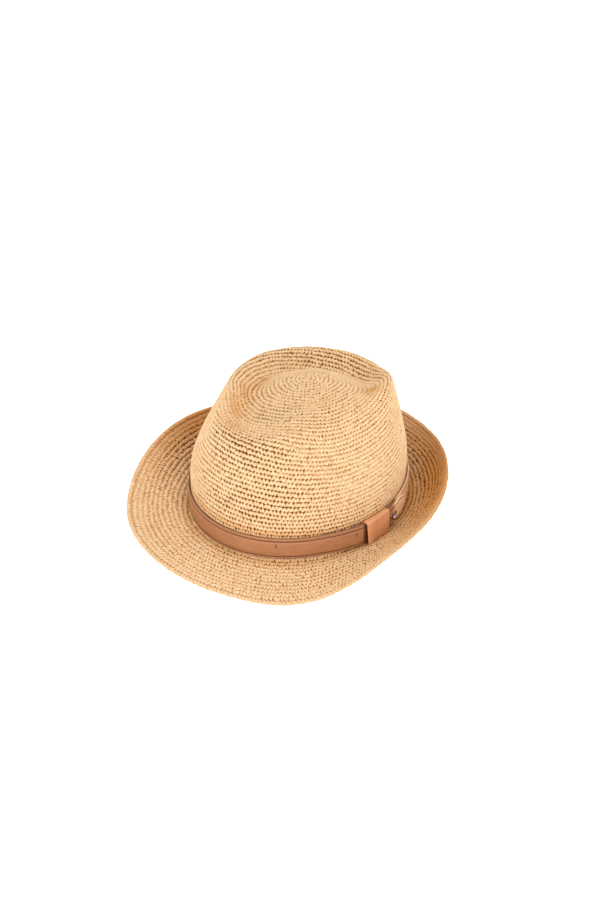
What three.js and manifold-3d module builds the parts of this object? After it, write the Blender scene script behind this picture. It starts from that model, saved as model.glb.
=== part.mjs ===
// A trilby crocheted in raffia, with a leather hatband, its keeper and a ball stud.
// Millimetres. The front of the hat looks along -Y, the wearer's left is +X, up is +Z.
// The hat rests on a table at z = 0, on the front edge of its brim and the back of its foot.

import * as THREE from 'three';
import Module from 'manifold-3d';
import { mergeVertices } from 'three/addons/utils/BufferGeometryUtils.js';

// Driving dimensions: the crocheted crown and brim
const headLength = 200;       // outside of the crown's foot, front to back
const headWidth = 172;        // outside of the crown's foot, side to side
const crownHeight = 100;      // the table below gives the ridge as shares of this
const tipHeight = 103;        // top of the dome inside the dent, where the crochet starts
const tipSetBack = 12;        // the same point behind the middle of the head
const tipSetLeft = 1.5;       // and towards the wearer's left
const dentDepth = 20;         // depth of the groove that has the share 1
const brimWidth = 50;         // the table below gives the brim as shares of this
const ridgeRound = 0.045;     // reach of the rounding of ridges, as a share of the profile's length
const bendRadius = 2;         // where the crown turns out into the brim
const raffiaWall = 2.2;       // thickness of the crochet
const restFlat = 0.4;         // depth by which the straw is pressed flat on the table

// Driving dimensions: the leather band
const strapHeight = 17.6;
const strapThickness = 1.4;
const strapLift = 2.5;        // lower edge of the band above the root of the brim
const strapTaper = 17;        // length of the pointed end
const strapPointHeight = 4;   // height that is left at the very end of the point
const clearance = 0.3;        // between neighbouring pieces
const keeperWidth = 25;       // along the band
const keeperThickness = 1;
const keeperCorner = 0.6;     // bevel along the keeper's outer edges
const keeperRib = 0.35;       // how far each rib stands out
const keeperRibs = 9;
const studBall = 5;           // diameters of the ball stud
const studNeck = 2.4;
const studFoot = 6;
const studNeckLength = 0.8;   // between the leather and the ball
const slitWidth = 0.8;        // the slit that lets the ball through the leather
const slitLength = 5;

// Places on the band, as angles from the front towards the wearer's left
const strapStartAngle = 58;   // the end that is hidden under the overlap
const keeperAngle = 70;
const studAngle = 82;
const strapTipAngle = 99;
const strapRamp = 8;          // degrees in which the band climbs onto what it covers
const strapLead = 1;          // degrees that it then lies flat before it

// One row for each section, every 30 degrees from the front towards the wearer's left.
// crest: distance of the ridge from the middle, as a share of the foot of the crown
// rise: height of the ridge, as a share of crownHeight
// groove: place of the groove between the tip and the ridge, as a share of the way
// dent: depth of the groove below the ridge, as a share of dentDepth, less than 0 where it is higher
// root, rim: slope of the brim where it leaves the crown and at its edge, in degrees
// width: width of the brim, as a share of brimWidth
const sections = [
  { crest: 0.80, rise: 0.920, groove: 0.72, dent: -0.05, root: -8, rim: -6, width: 0.90 },
  { crest: 0.62, rise: 0.930, groove: 0.72, dent: -0.25, root: -3, rim: 1, width: 1.05 },
  { crest: 0.58, rise: 0.925, groove: 0.74, dent: -0.30, root: 11, rim: 37, width: 0.96 },
  { crest: 0.69, rise: 0.965, groove: 0.78, dent: -0.15, root: 13, rim: 59, width: 0.89 },
  { crest: 0.83, rise: 1.025, groove: 0.72, dent: 0.52, root: 11, rim: 78, width: 0.85 },
  { crest: 0.85, rise: 0.950, groove: 0.77, dent: 0.66, root: 4, rim: 83, width: 0.79 },
  { crest: 0.85, rise: 0.945, groove: 0.73, dent: 0.62, root: 2, rim: 73, width: 0.80 },
  { crest: 0.82, rise: 0.965, groove: 0.71, dent: 0.66, root: 3, rim: 73, width: 0.80 },
  { crest: 0.77, rise: 0.995, groove: 0.70, dent: 0.70, root: 8, rim: 56, width: 0.87 },
  { crest: 0.69, rise: 1.005, groove: 0.70, dent: 0.60, root: 17, rim: 62, width: 0.93 },
  { crest: 0.63, rise: 1.040, groove: 0.69, dent: 0.60, root: 5, rim: 10, width: 1.00 },
  { crest: 0.84, rise: 0.970, groove: 0.68, dent: 0.38, root: 0, rim: 9, width: 1.02 },
];

// One row for each point of the dent's profile, from the tip of the crown to the ridge.
// inGroove, inRidge: how far the point lies on the way to the groove, then on to the ridge
// drop: how far it has sunk from the height of the tip to that of the groove
// climb: how far it has risen again to the height of the ridge
const dentProfile = [
  { inGroove: 0.00, inRidge: 0.00, drop: 0.00, climb: 0.00 },
  { inGroove: 0.38, inRidge: 0.00, drop: 0.14, climb: 0.00 },
  { inGroove: 0.74, inRidge: 0.00, drop: 0.64, climb: 0.00 },
  { inGroove: 1.00, inRidge: 0.00, drop: 1.00, climb: 0.00 },
  { inGroove: 1.00, inRidge: 0.38, drop: 1.00, climb: 0.44 },
  { inGroove: 1.00, inRidge: 0.72, drop: 1.00, climb: 0.86 },
  { inGroove: 1.00, inRidge: 1.00, drop: 1.00, climb: 1.00 },
];

// One row for each point of the outer wall, from the ridge down to the straight foot.
// spread: how far the point has moved out from the ridge towards the foot's outline
// height: its height as a share of the ridge's
const wallProfile = [
  { spread: 0.20, height: 0.90 },
  { spread: 0.62, height: 0.66 },
  { spread: 0.94, height: 0.42 },
];

// Fineness of the faceted shapes
const stationsAround = 64;
const crownSteps = 27;
const finePerStep = 4;        // finer steps that the crown's profile is rounded in
const bendSteps = 3;
const brimSteps = 6;
const strapStations = 120;
const roundSides = 12;
const ballSteps = 6;
const weldDistance = 1e-4;    // points nearer than this are one corner

const halfLength = headLength / 2;
const halfWidth = headWidth / 2;
const strapTop = strapLift + strapHeight;
const strapMiddle = strapLift + strapHeight / 2;
const layerPitch = strapThickness + clearance;
const straightTop = strapTop + keeperThickness + 2 * clearance + bendRadius;

const radians = THREE.MathUtils.degToRad;
const blend = (from, to, share) => from + (to - from) * share;

// The value of one column of the table at any angle, as a smooth closed curve.
function around(column, angle) {
  const count = sections.length;
  const place = THREE.MathUtils.euclideanModulo(angle / (2 * Math.PI), 1) * count;
  const row = Math.floor(place);
  const t = place - row;
  const [a, b, c, d] = [-1, 0, 1, 2].map(k => sections[(row + k + count) % count][column]);
  const [into, out] = [(c - a) / 2, (d - b) / 2];
  return ((2 * b - 2 * c + into + out) * t + (3 * c - 3 * b - 2 * into - out)) * t * t + into * t + b;
}

// A point of the crown's foot outline and the outline's outward normal there.
function footPoint(angle) {
  return new THREE.Vector3(halfWidth * Math.sin(angle), -halfLength * Math.cos(angle), 0);
}
function footNormal(angle) {
  return new THREE.Vector3(Math.sin(angle) / halfWidth, -Math.cos(angle) / halfLength, 0).normalize();
}

// A point beside the crown's foot: offset out from it, at a height.
function besideFoot(angle, offset, height) {
  const point = footPoint(angle).addScaledVector(footNormal(angle), offset);
  return point.setZ(height);
}

// The same points, each drawn towards its neighbours, which rounds ridges and grooves.
// Both ends stay in place.
function rounded(points) {
  const last = points.length - 1;
  const reach = Math.round(ridgeRound * last);
  const mirrored = (end, point) => end.clone().multiplyScalar(2).sub(point);
  const at = k => {
    if (k < 0) return mirrored(points[0], points[-k]);
    return k > last ? mirrored(points[last], points[2 * last - k]) : points[k];
  };
  return points.map((_, i) => {
    const sum = new THREE.Vector3();
    let weights = 0;
    for (let k = -reach; k <= reach; k++) {
      const weight = reach + 1 - Math.abs(k);
      sum.addScaledVector(at(i + k), weight);
      weights += weight;
    }
    return sum.divideScalar(weights);
  });
}

// The crown's outside at one angle, from the tip over the dome, groove and ridge to the foot.
function crownProfile(angle) {
  const foot = footPoint(angle);
  const tip = new THREE.Vector3(tipSetLeft, tipSetBack, 0);
  const crest = around('crest', angle);
  const rise = around('rise', angle) * crownHeight;
  const groove = around('groove', angle);
  const grooveHeight = rise - around('dent', angle) * dentDepth;
  const ridge = foot.clone().multiplyScalar(crest);
  const points = dentProfile.map(row => {
    const way = row.inGroove * groove + row.inRidge * (1 - groove);
    const sunk = blend(tipHeight, grooveHeight, row.drop);
    return tip.clone().lerp(ridge, way).setZ(blend(sunk, rise, row.climb));
  });
  wallProfile.forEach(row => {
    points.push(foot.clone().multiplyScalar(blend(crest, 1, row.spread)).setZ(rise * row.height));
  });
  points.push(foot.clone().setZ(straightTop));
  points.push(foot.clone().setZ(2 * bendRadius));
  const curve = new THREE.CatmullRomCurve3(points, false, 'catmullrom', 0.5);
  const fine = rounded(curve.getSpacedPoints(crownSteps * finePerStep));
  return fine.filter((_, i) => i % finePerStep === 0).map(point => {
    const share = Math.hypot(point.x / halfWidth, point.y / halfLength);
    const height = point.z;
    return share > 1 ? point.multiplyScalar(1 / share).setZ(height) : point;
  });
}

// The brim's upper side at one angle: a tight bend, then a strip that curls steadily.
function brimProfile(angle) {
  const root = radians(around('root', angle));
  const rim = radians(around('rim', angle));
  const width = around('width', angle) * brimWidth;
  const turn = Math.PI / 2 + root;
  let offset = 0;
  let height = bendRadius;
  const points = [besideFoot(angle, offset, height)];
  const walk = (length, slope) => {
    offset += length * Math.cos(slope);
    height += length * Math.sin(slope);
    points.push(besideFoot(angle, offset, height));
  };
  for (let k = 0; k < bendSteps; k++) {
    const chord = 2 * bendRadius * Math.sin(turn / bendSteps / 2);
    walk(chord, -Math.PI / 2 + turn * (k + 0.5) / bendSteps);
  }
  for (let k = 0; k < brimSteps; k++) {
    walk(width / brimSteps, blend(root, rim, (k + 0.5) / brimSteps));
  }
  return points;
}

// The whole outer skin as a grid of rings: grid[ring][station].
function outerGrid() {
  const columns = [];
  for (let k = 0; k < stationsAround; k++) {
    const angle = 2 * Math.PI * k / stationsAround;
    columns.push([...crownProfile(angle), ...brimProfile(angle)]);
  }
  return columns[0].map((_, ring) => columns.map(column => column[ring]));
}

// The hidden side of the crochet, one wall's thickness behind the outer skin.
function innerGrid(grid) {
  const last = grid.length - 1;
  return grid.map((ring, i) => ring.map((point, k) => {
    if (i === 0) return point.clone().setZ(point.z - raffiaWall);
    const next = (k + 1) % stationsAround;
    const before = (k + stationsAround - 1) % stationsAround;
    const alongRing = ring[next].clone().sub(ring[before]);
    const down = grid[Math.min(i + 1, last)][k].clone().sub(grid[i - 1][k]);
    const outward = down.cross(alongRing).normalize();
    return point.clone().addScaledVector(outward, -raffiaWall);
  }));
}

// A closed geometry from a list of points and a list of faces with three or more corners.
function closedGeometry(points, faces) {
  const index = [];
  for (const face of faces) {
    for (let k = 1; k < face.length - 1; k++) index.push(face[0], face[k], face[k + 1]);
  }
  const geometry = new THREE.BufferGeometry();
  const corners = points.flatMap(point => point.toArray());
  geometry.setAttribute('position', new THREE.Float32BufferAttribute(corners, 3));
  geometry.setIndex(index);
  return geometry;
}

// Both skins joined at the tip and along the edge of the brim.
function hatBodyGeometry(grid, inner) {
  const points = [];
  const faces = [];
  const addSkin = (rings, outside) => {
    const tip = points.push(rings[0][0]) - 1;
    const first = points.length;
    rings.slice(1).forEach(ring => points.push(...ring));
    const at = (i, k) => first + (i - 1) * stationsAround + k % stationsAround;
    const add = (...face) => faces.push(outside ? face : face.reverse());
    for (let k = 0; k < stationsAround; k++) {
      add(tip, at(1, k), at(1, k + 1));
      for (let i = 1; i < rings.length - 1; i++) {
        add(at(i, k), at(i + 1, k), at(i + 1, k + 1));
        add(at(i, k), at(i + 1, k + 1), at(i, k + 1));
      }
    }
    return k => at(rings.length - 1, k);
  };
  const outerEdge = addSkin(grid, true);
  const innerEdge = addSkin(inner, false);
  for (let k = 0; k < stationsAround; k++) {
    faces.push([outerEdge(k), innerEdge(k), innerEdge(k + 1), outerEdge(k + 1)]);
  }
  return closedGeometry(points, faces);
}

// The lean about the X axis at which the front of the brim and the back of the hat both touch the table.
// Each round halves the span that holds it, which starts as a steep lean to either side.
function restingLean(points) {
  const steepLean = radians(15);
  const rounds = 40;
  const lowest = (lean, isFront) => Math.min(...points
    .filter(p => p.y < 0 === isFront)
    .map(p => p.y * Math.sin(lean) + p.z * Math.cos(lean)));
  let [low, high] = [-steepLean, steepLean];
  for (let k = 0; k < rounds; k++) {
    const middle = (low + high) / 2;
    const frontIsLower = lowest(middle, true) < lowest(middle, false);
    if (frontIsLower) high = middle;
    else low = middle;
  }
  const lean = (low + high) / 2;
  return { lean, table: Math.min(lowest(lean, true), lowest(lean, false)) };
}

// Millimetres along the crown's foot for one degree of the angle.
function arcPerDegree(degrees) {
  const angle = radians(degrees);
  return Math.hypot(halfWidth * Math.cos(angle), halfLength * Math.sin(angle)) * radians(1);
}

// How far the band stands off the crown, at a distance in degrees along its two layers.
// Both layers stand out over the keeper's inner leg and the stud's foot, and the second one
// also over the start of the first.
function strapOffset(degrees) {
  const within = THREE.MathUtils.euclideanModulo(degrees, 360);
  const before = keeperAngle - keeperWidth / 2 / arcPerDegree(keeperAngle);
  const behind = studAngle + studFoot / 2 / arcPerDegree(studAngle);
  const opens = THREE.MathUtils.smoothstep(within, before - strapRamp, before - strapLead);
  const closes = THREE.MathUtils.smoothstep(within, behind + strapLead, behind + strapRamp);
  const overKeeper = (opens - closes) * (keeperThickness + clearance);
  const second = 360 + strapStartAngle;
  const climb = THREE.MathUtils.smoothstep(degrees, second - 2 * strapRamp, second - 2 * strapLead);
  return clearance + overKeeper + climb * layerPitch;
}

// The band: one strap that passes over its own start and ends in a point.
function strapGeometry() {
  const points = [];
  const faces = [];
  const end = 360 + strapTipAngle;
  const taper = strapTaper / arcPerDegree(strapTipAngle);
  for (let k = 0; k <= strapStations; k++) {
    const degrees = blend(strapStartAngle, end, k / strapStations);
    const intoPoint = THREE.MathUtils.clamp((degrees - (end - taper)) / taper, 0, 1);
    const half = blend(strapHeight / 2, strapPointHeight / 2, intoPoint ** 2);
    const inside = strapOffset(degrees);
    const outside = inside + strapThickness;
    const angle = radians(degrees);
    points.push(besideFoot(angle, inside, strapMiddle - half));
    points.push(besideFoot(angle, outside, strapMiddle - half));
    points.push(besideFoot(angle, outside, strapMiddle + half));
    points.push(besideFoot(angle, inside, strapMiddle + half));
  }
  for (let k = 0; k < strapStations; k++) {
    for (let side = 0; side < 4; side++) {
      const next = (side + 1) % 4;
      faces.push([4 * k + side, 4 * k + 4 + side, 4 * k + 4 + next, 4 * k + next]);
    }
  }
  const last = 4 * strapStations;
  faces.push([0, 1, 2, 3]);
  faces.push([last + 3, last + 2, last + 1, last]);
  return closedGeometry(points, faces);
}

// A frame on the band: its Z axis points out of the leather, its X axis runs along the band.
function bandFrame(degrees, offset, height) {
  const angle = radians(degrees);
  const outward = footNormal(angle);
  const up = new THREE.Vector3(0, 0, 1);
  const along = up.clone().cross(outward);
  const frame = new THREE.Matrix4().makeBasis(along, up, outward);
  return frame.setPosition(besideFoot(angle, offset, height));
}

// Solids for cutting and joining.
const wasm = await Module();
wasm.setup();
function solid(geometry) {
  const bare = geometry.index ? geometry.clone() : geometry.toNonIndexed();
  bare.deleteAttribute('normal');
  bare.deleteAttribute('uv');
  const merged = mergeVertices(bare, weldDistance);
  return new wasm.Manifold(new wasm.Mesh({
    numProp: 3,
    vertProperties: new Float32Array(merged.attributes.position.array),
    triVerts: new Uint32Array(merged.index.array),
  }));
}
function geometryOf(manifold) {
  const mesh = manifold.getMesh();
  const geometry = new THREE.BufferGeometry();
  geometry.setAttribute('position', new THREE.BufferAttribute(mesh.vertProperties, 3));
  geometry.setIndex(new THREE.BufferAttribute(mesh.triVerts, 1));
  return geometry;
}

// The crochet pressed flat where it rests on the table.
function restedBodyGeometry(grid, inner, lean, table) {
  const depth = crownHeight;
  const reach = 2 * (headLength + 2 * brimWidth);
  const block = new THREE.BoxGeometry(reach, reach, depth);
  block.translate(0, 0, table + restFlat - depth / 2);
  block.rotateX(-lean);
  return geometryOf(solid(hatBodyGeometry(grid, inner)).subtract(solid(block)));
}

// The holes for the stud through both layers, and the slit beside it in the outer one.
function cutStrapGeometry() {
  const inside = strapOffset(studAngle);
  const reach = 2 * layerPitch;
  const holeRadius = studNeck / 2 + clearance;
  const hole = new THREE.CylinderGeometry(holeRadius, holeRadius, 2 * reach, roundSides);
  hole.rotateX(Math.PI / 2);
  hole.applyMatrix4(bandFrame(studAngle, inside + layerPitch, strapMiddle));
  const atOuterLayer = bandFrame(studAngle, inside + strapThickness + clearance / 2, strapMiddle);
  const slit = new THREE.BoxGeometry(slitLength, slitWidth, reach);
  slit.translate(slitLength / 2, 0, reach / 2);
  slit.applyMatrix4(atOuterLayer);
  const slitEnd = new THREE.CylinderGeometry(slitWidth, slitWidth, reach, roundSides);
  slitEnd.rotateX(Math.PI / 2);
  slitEnd.translate(slitLength, 0, reach / 2);
  slitEnd.applyMatrix4(atOuterLayer);
  const cuts = [hole, slit, slitEnd].map(solid);
  return geometryOf(cuts.reduce((strap, cut) => strap.subtract(cut), solid(strapGeometry())));
}

// The keeper: a ribbed loop round both layers, swept along the band.
// Its section is two loops of corners, as offset and height from the lower inside corner on.
function keeperGeometry() {
  const points = [];
  const faces = [];
  const steps = 2 * keeperRibs;
  const inside = keeperThickness + clearance;
  const outside = inside + 2 * layerPitch + clearance;
  const low = strapLift - clearance;
  const high = strapTop + clearance;
  const innerLoop = [
    [inside, low],
    [outside - clearance, low],
    [outside, low + clearance],
    [outside, high - clearance],
    [outside - clearance, high],
    [inside, high],
  ];
  const outerLoop = [
    [clearance, low - keeperThickness],
    [outside + keeperThickness - keeperCorner, low - keeperThickness],
    [outside + keeperThickness, low - keeperThickness + keeperCorner],
    [outside + keeperThickness, high + keeperThickness - keeperCorner],
    [outside + keeperThickness - keeperCorner, high + keeperThickness],
    [clearance, high + keeperThickness],
  ];
  const count = outerLoop.length;
  for (let k = 0; k <= steps; k++) {
    const angle = radians(keeperAngle + (k / steps - 0.5) * keeperWidth / arcPerDegree(keeperAngle));
    const rib = k % 2 === 1 ? keeperRib : 0;
    outerLoop.forEach(([offset, height], i) => {
      const onFront = i > 0 && i < count - 1;
      points.push(besideFoot(angle, onFront ? offset + rib : offset, height));
    });
    innerLoop.forEach(([offset, height]) => points.push(besideFoot(angle, offset, height)));
  }
  const at = (k, loop, i) => k * 2 * count + loop * count + i % count;
  for (let i = 0; i < count; i++) {
    for (let k = 0; k < steps; k++) {
      faces.push([at(k, 0, i), at(k + 1, 0, i), at(k + 1, 0, i + 1), at(k, 0, i + 1)]);
      faces.push([at(k, 1, i + 1), at(k + 1, 1, i + 1), at(k + 1, 1, i), at(k, 1, i)]);
    }
    faces.push([at(0, 0, i), at(0, 0, i + 1), at(0, 1, i + 1), at(0, 1, i)]);
    faces.push([at(steps, 0, i + 1), at(steps, 0, i), at(steps, 1, i), at(steps, 1, i + 1)]);
  }
  return closedGeometry(points, faces);
}

// The stud: a foot behind the leather, a neck through both layers and a ball in front.
function studGeometry() {
  const neckEnd = strapOffset(studAngle) + layerPitch + strapThickness + studNeckLength;
  const neckRadius = studNeck / 2;
  const ballRadius = studBall / 2;
  const ballCentre = neckEnd + Math.sqrt(ballRadius ** 2 - neckRadius ** 2);
  const profile = [
    new THREE.Vector2(0, clearance),
    new THREE.Vector2(studFoot / 2, clearance),
    new THREE.Vector2(studFoot / 2, keeperThickness),
    new THREE.Vector2(neckRadius, keeperThickness),
  ];
  const start = Math.asin(neckRadius / ballRadius);
  for (let k = 0; k < ballSteps; k++) {
    const angle = blend(start, Math.PI, k / ballSteps);
    const height = ballCentre - ballRadius * Math.cos(angle);
    profile.push(new THREE.Vector2(ballRadius * Math.sin(angle), height));
  }
  profile.push(new THREE.Vector2(0, ballCentre + ballRadius));
  return new THREE.LatheGeometry(profile, roundSides).rotateX(Math.PI / 2);
}

// Materials
const raffia = new THREE.MeshStandardMaterial({ color: 0xe3b67c, roughness: 0.75, metalness: 0 });
const leather = new THREE.MeshStandardMaterial({ color: 0xb87848, roughness: 0.5, metalness: 0 });
const keeperLeather = new THREE.MeshStandardMaterial({ color: 0xc08050, roughness: 0.45, metalness: 0 });
const brass = new THREE.MeshStandardMaterial({ color: 0xb08d84, roughness: 0.25, metalness: 1 });

function named(name, geometry, material) {
  const mesh = new THREE.Mesh(geometry, material);
  mesh.name = name;
  return mesh;
}

// The assembly
const grid = outerGrid();
const inner = innerGrid(grid);
const { lean, table } = restingLean(inner.flat());

const hat = new THREE.Group();
hat.rotation.x = lean;
hat.add(named('hat_body', restedBodyGeometry(grid, inner, lean, table), raffia));
hat.add(named('hatband', cutStrapGeometry(), leather));
hat.add(named('keeper', keeperGeometry(), keeperLeather));
const stud = named('stud', studGeometry(), brass);
stud.applyMatrix4(bandFrame(studAngle, 0, strapMiddle));
hat.add(stud);

// The origin is the middle of the hat's box, on the table
const trilby = new THREE.Group();
trilby.add(hat);
trilby.updateMatrixWorld(true);
const box = new THREE.Box3().setFromObject(trilby, true);
const middle = box.getCenter(new THREE.Vector3());
hat.position.set(-middle.x, -middle.y, -box.min.z);
trilby.updateMatrixWorld(true);

export default trilby;
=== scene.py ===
# %% [markdown]
# # A crocheted raffia trilby
# This notebook dresses a plain CAD model of a summer trilby. The real hat is one long piece
# of crochet, worked in rounds from the tip of the crown to the edge of the brim, with a
# leather band round it. We first load the CAD model, which fixes every size and place.

# %% Load the CAD model
import math
import bpy
import numpy as np
from mathutils import Matrix, Vector


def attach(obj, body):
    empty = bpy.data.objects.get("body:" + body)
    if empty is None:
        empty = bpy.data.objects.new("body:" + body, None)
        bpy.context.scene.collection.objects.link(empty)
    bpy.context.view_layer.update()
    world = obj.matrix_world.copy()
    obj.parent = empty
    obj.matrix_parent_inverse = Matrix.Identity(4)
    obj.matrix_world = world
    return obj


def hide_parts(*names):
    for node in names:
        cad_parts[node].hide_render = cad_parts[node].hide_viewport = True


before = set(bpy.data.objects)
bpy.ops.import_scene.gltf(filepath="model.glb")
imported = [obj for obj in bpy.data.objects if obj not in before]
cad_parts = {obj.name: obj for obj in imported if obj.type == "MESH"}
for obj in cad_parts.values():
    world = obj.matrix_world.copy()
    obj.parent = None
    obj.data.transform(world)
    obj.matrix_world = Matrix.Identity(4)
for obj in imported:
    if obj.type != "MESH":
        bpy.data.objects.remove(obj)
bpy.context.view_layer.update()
bpy.ops.object.select_all(action="DESELECT")
print("CAD pieces:", sorted(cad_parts))

# %% [markdown]
# ## The camera
# The photograph looks down on the hat from its front left. A 70 mm lens on a camera a metre
# and a half away gives the same small amount of perspective.

# %% Place the camera
CAMERA_ELEVATION = 32.71      # degrees above the table
CAMERA_TURN = -27.10          # degrees from the front of the hat, towards the wearer's left
CAMERA_ROLL = -0.71
CAMERA_DISTANCE = 1.45054     # metres
CAMERA_TARGET = (-0.00607, 0.02314, 0.03327)


def place_camera():
    elevation = math.radians(CAMERA_ELEVATION)
    turn = math.radians(CAMERA_TURN)
    looks = Vector((
        math.sin(turn) * math.cos(elevation),
        math.cos(turn) * math.cos(elevation),
        -math.sin(elevation),
    ))
    bpy.ops.object.camera_add(location=Vector(CAMERA_TARGET) - looks * CAMERA_DISTANCE)
    camera = bpy.context.object
    camera.name = "photo_camera"
    camera.data.lens = 70
    camera.data.sensor_width = 36
    camera.data.clip_end = 50
    turned = looks.to_track_quat("-Z", "Y").to_matrix()
    rolled = turned @ Matrix.Rotation(math.radians(CAMERA_ROLL), 3, "Z")
    camera.rotation_euler = rolled.to_euler()
    bpy.context.scene.camera = camera
    return camera


camera = place_camera()
print("Camera at", tuple(round(value, 3) for value in camera.location))

# %% [markdown]
# ## The shape of the hat
# The stitches have to lie exactly on the CAD model's surface, so the same functions that
# shaped it are worked out here again, for many points at once. All lengths are in
# millimetres and angles go from the front towards the wearer's left. There is one row in the
# table for each section, every 30 degrees.

# %% Sizes of the crochet
HEAD_LENGTH = 200
HEAD_WIDTH = 172
CROWN_HEIGHT = 100
TIP_HEIGHT = 103
TIP = np.array((1.5, 12.0, 0.0))
DENT_DEPTH = 20
BRIM_WIDTH = 50
BEND_RADIUS = 2
WALL = 2.2
STRAIGHT_TOP = 23.7
CROWN_STEPS = 108
RIDGE_ROUND = 0.045           # share of the profile that one ridge is averaged over
LEAN = math.radians(-1.3223)
HAT_PLACE = np.array((1.6005, 6.0542, 4.1495))
MM = 0.001

COLUMNS = ("crest", "rise", "groove", "dent", "root", "rim", "width")
SECTIONS = np.array((
    (0.80, 0.920, 0.72, -0.05, -8, -6, 0.90),
    (0.62, 0.930, 0.72, -0.25, -3, 1, 1.05),
    (0.58, 0.925, 0.74, -0.30, 11, 37, 0.96),
    (0.69, 0.965, 0.78, -0.15, 13, 59, 0.89),
    (0.83, 1.025, 0.72, 0.52, 11, 78, 0.85),
    (0.85, 0.950, 0.77, 0.66, 4, 83, 0.79),
    (0.85, 0.945, 0.73, 0.62, 2, 73, 0.80),
    (0.82, 0.965, 0.71, 0.66, 3, 73, 0.80),
    (0.77, 0.995, 0.70, 0.70, 8, 56, 0.87),
    (0.69, 1.005, 0.70, 0.60, 17, 62, 0.93),
    (0.63, 1.040, 0.69, 0.60, 5, 10, 1.00),
    (0.84, 0.970, 0.68, 0.38, 0, 9, 1.02),
))

# Columns: way to the groove, way on to the ridge, drop to the groove, climb to the ridge
DENT_PROFILE = (
    (0.00, 0.00, 0.00, 0.00),
    (0.38, 0.00, 0.14, 0.00),
    (0.74, 0.00, 0.64, 0.00),
    (1.00, 0.00, 1.00, 0.00),
    (1.00, 0.38, 1.00, 0.44),
    (1.00, 0.72, 1.00, 0.86),
    (1.00, 1.00, 1.00, 1.00),
)
# Columns: spread from the ridge out to the foot, share of the ridge's height
WALL_PROFILE = ((0.20, 0.90), (0.62, 0.66), (0.94, 0.42))


# %% Functions for the crown's foot
def blend(start, end, share):
    return start + (end - start) * share


def catmull_rom(before, start, end, after, t):
    into = (end - before) / 2
    out = (after - start) / 2
    cubic = (2 * start - 2 * end + into + out) * t + (3 * end - 3 * start - 2 * into - out)
    return cubic * t * t + into * t + start


def around(name, angle):
    """One column of the table at any angle, as a smooth closed curve."""
    values = SECTIONS[:, COLUMNS.index(name)]
    place = np.mod(angle / (2 * math.pi), 1) * len(values)
    row = np.floor(place).astype(int)
    corners = [values[(row + k) % len(values)] for k in (-1, 0, 1, 2)]
    return catmull_rom(*corners, place - row)


def stacked(x, y, z):
    return np.stack(np.broadcast_arrays(x, y, z), axis=-1).astype(float)


def foot_point(angle):
    return stacked(HEAD_WIDTH / 2 * np.sin(angle), -HEAD_LENGTH / 2 * np.cos(angle), 0)


def foot_normal(angle):
    raw = stacked(np.sin(angle) / HEAD_WIDTH, -np.cos(angle) / HEAD_LENGTH, 0)
    return raw / np.linalg.norm(raw, axis=-1, keepdims=True)


def at_height(point, height):
    moved = point.copy()
    moved[..., 2] = height
    return moved


def beside_foot(angle, offset, height):
    offset = np.asarray(offset, float)[..., None]
    return at_height(foot_point(angle) + foot_normal(angle) * offset, height)


# %% Functions for the profiles of crown and brim
def smooth_curve(points, steps):
    """A Catmull-Rom curve through points along the first axis."""
    padded = np.concatenate([2 * points[:1] - points[1:2], points, 2 * points[-1:] - points[-2:-1]])
    curve = []
    for k in range(len(points) - 1):
        curve += [catmull_rom(*padded[k:k + 4], t) for t in np.arange(steps) / steps]
    curve.append(points[-1])
    return np.array(curve)


def rounded(points):
    """The felted look of soft ridges: an average that slides along the profile."""
    last = len(points) - 1
    reach = round(RIDGE_ROUND * last)
    before = 2 * points[:1] - points[1:reach + 1][::-1]
    after = 2 * points[-1:] - points[-reach - 1:-1][::-1]
    padded = np.concatenate([before, points, after])
    weights = reach + 1 - np.abs(np.arange(-reach, reach + 1))
    return sum(w * padded[k:k + last + 1] for k, w in enumerate(weights)) / weights.sum()


def crown_profile(angle, steps=16):
    foot = foot_point(angle)
    crest = around("crest", angle)
    rise = around("rise", angle) * CROWN_HEIGHT
    groove = around("groove", angle)
    low = rise - around("dent", angle) * DENT_DEPTH
    ridge = foot * crest[:, None]
    points = []
    for in_groove, in_ridge, drop, climb in DENT_PROFILE:
        way = in_groove * groove + in_ridge * (1 - groove)
        height = blend(blend(TIP_HEIGHT, low, drop), rise, climb)
        points.append(at_height(blend(TIP, ridge, way[:, None]), height))
    for spread, height in WALL_PROFILE:
        points.append(at_height(foot * blend(crest, 1, spread)[:, None], rise * height))
    for height in (STRAIGHT_TOP, 2 * BEND_RADIUS):
        points.append(at_height(foot, height))
    curve = smooth_curve(np.array(points), steps)
    curve = rounded(spread_evenly(curve, CROWN_STEPS))
    share = np.hypot(curve[..., 0] / (HEAD_WIDTH / 2), curve[..., 1] / (HEAD_LENGTH / 2))
    curve[..., :2] /= np.maximum(share, 1)[..., None]
    return curve


def brim_profile(angle, bend_steps=8, steps=24):
    root = np.radians(around("root", angle))
    rim = np.radians(around("rim", angle))
    strip = around("width", angle) * BRIM_WIDTH / steps
    turn = math.pi / 2 + root
    chord = 2 * BEND_RADIUS * np.sin(turn / bend_steps / 2)
    moves = [(chord, -math.pi / 2 + turn * (k + 0.5) / bend_steps) for k in range(bend_steps)]
    moves += [(strip, blend(root, rim, (k + 0.5) / steps)) for k in range(steps)]
    offset = np.zeros_like(root)
    height = np.full_like(root, BEND_RADIUS)
    points = [beside_foot(angle, offset, height)]
    for length, slope in moves:
        offset = offset + length * np.cos(slope)
        height = height + length * np.sin(slope)
        points.append(beside_foot(angle, offset, height))
    return np.array(points)


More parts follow.
